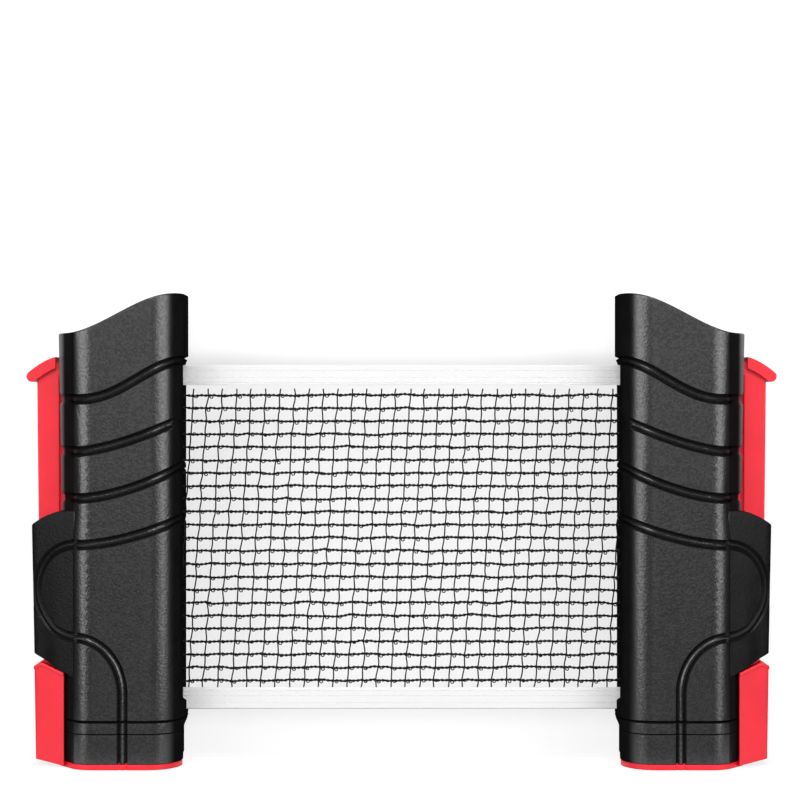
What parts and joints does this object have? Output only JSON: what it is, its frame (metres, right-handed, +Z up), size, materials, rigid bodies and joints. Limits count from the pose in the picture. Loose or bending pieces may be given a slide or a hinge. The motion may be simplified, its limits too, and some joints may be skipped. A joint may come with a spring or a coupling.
{
  "type": "table tennis net clamp set",
  "caption": "Retractable table tennis net between two spring clamp posts: each post holds a sprung reel and a red jaw slider with a thumb hook.",
  "frame": {"origin": "centre of the set on the surface that it stands on", "axes": "+X along the net to the right, -Y to the front, +Z up"},
  "size_m": [0.3304, 0.046, 0.2077],
  "materials": {
    "black_plastic": "fine spark texture, satin sheen",
    "red_plastic": "smooth moulded",
    "pad_rubber": "soft matt",
    "spring_steel": "drawn wire",
    "steel_pin": "ground",
    "spool_plastic": "natural, smooth",
    "bush_plastic": "self-lubricating plastic",
    "net_cord": "twisted cord",
    "net_tape": "woven tape",
    "screw_steel": "blackened"
  },
  "bodies": {
    "left_post": {"left_front_shell": "black_plastic", "left_rear_shell": "black_plastic", "left_base_cap": "black_plastic", "left_upper_jaw_pad": "pad_rubber", "left_clamp_spring": "spring_steel", "left_spring_guide_pin": "steel_pin", "left_spool_axle": "steel_pin", "left_return_spring": "spring_steel", "left_spring_anchor": "bush_plastic", "left_shell_screws": "screw_steel"},
    "left_jaw": {"left_jaw_slider": "red_plastic", "left_lower_jaw_pad": "pad_rubber"},
    "left_spool": {"left_spool": "spool_plastic", "left_upper_bush": "bush_plastic", "left_lower_bush": "bush_plastic", "left_net_roll": "net_cord"},
    "net": {"net_mesh": "net_cord", "net_top_tape": "net_tape", "net_bottom_tape": "net_tape"},
    "right_post": {"right_front_shell": "black_plastic", "right_rear_shell": "black_plastic", "right_base_cap": "black_plastic", "right_upper_jaw_pad": "pad_rubber", "right_clamp_spring": "spring_steel", "right_spring_guide_pin": "steel_pin", "right_spool_axle": "steel_pin", "right_return_spring": "spring_steel", "right_spring_anchor": "bush_plastic", "right_shell_screws": "screw_steel"},
    "right_jaw": {"right_jaw_slider": "red_plastic", "right_lower_jaw_pad": "pad_rubber"},
    "right_spool": {"right_spool": "spool_plastic", "right_upper_bush": "bush_plastic", "right_lower_bush": "bush_plastic", "right_net_roll": "net_cord"}
  },
  "joints": [
    {"name": "left_jaw_slide", "type": "slide", "parent": "left_post", "child": "left_jaw", "axis": [0, 0, -1], "range_m": [0, 0.05], "stiffness_N_per_m": 400, "springref_m": -0.05, "deforming": ["left_clamp_spring"]},
    {"name": "left_spool_turn", "type": "hinge", "parent": "left_post", "child": "left_spool", "pos_m": [-0.1191, 0, 0.1], "axis": [0, 0, 1], "range_deg": [-320, 0]},
    {"name": "net_wind_in", "type": "slide", "parent": "left_post", "child": "net", "axis": [1, 0, 0], "range_m": [-0.189, 0], "deforming": ["net_mesh", "net_top_tape", "net_bottom_tape"]},
    {"name": "net_pay_out", "type": "slide", "parent": "net", "child": "right_post", "axis": [1, 0, 0], "range_m": [0, 1.5]},
    {"name": "right_jaw_slide", "type": "slide", "parent": "right_post", "child": "right_jaw", "axis": [0, 0, -1], "range_m": [0, 0.05], "stiffness_N_per_m": 400, "springref_m": -0.05, "deforming": ["right_clamp_spring"]},
    {"name": "right_spool_turn", "type": "hinge", "parent": "right_post", "child": "right_spool", "pos_m": [0.1191, 0, 0.1], "axis": [0, 0, 1], "range_deg": [0, 3310]}
  ],
  "couplings": [
    {"joint": "left_spool_turn", "follows": "net_wind_in", "rad_per_m": 29.07},
    {"joint": "right_spool_turn", "follows": "net_pay_out", "rad_per_m": 38.46}
  ]
}
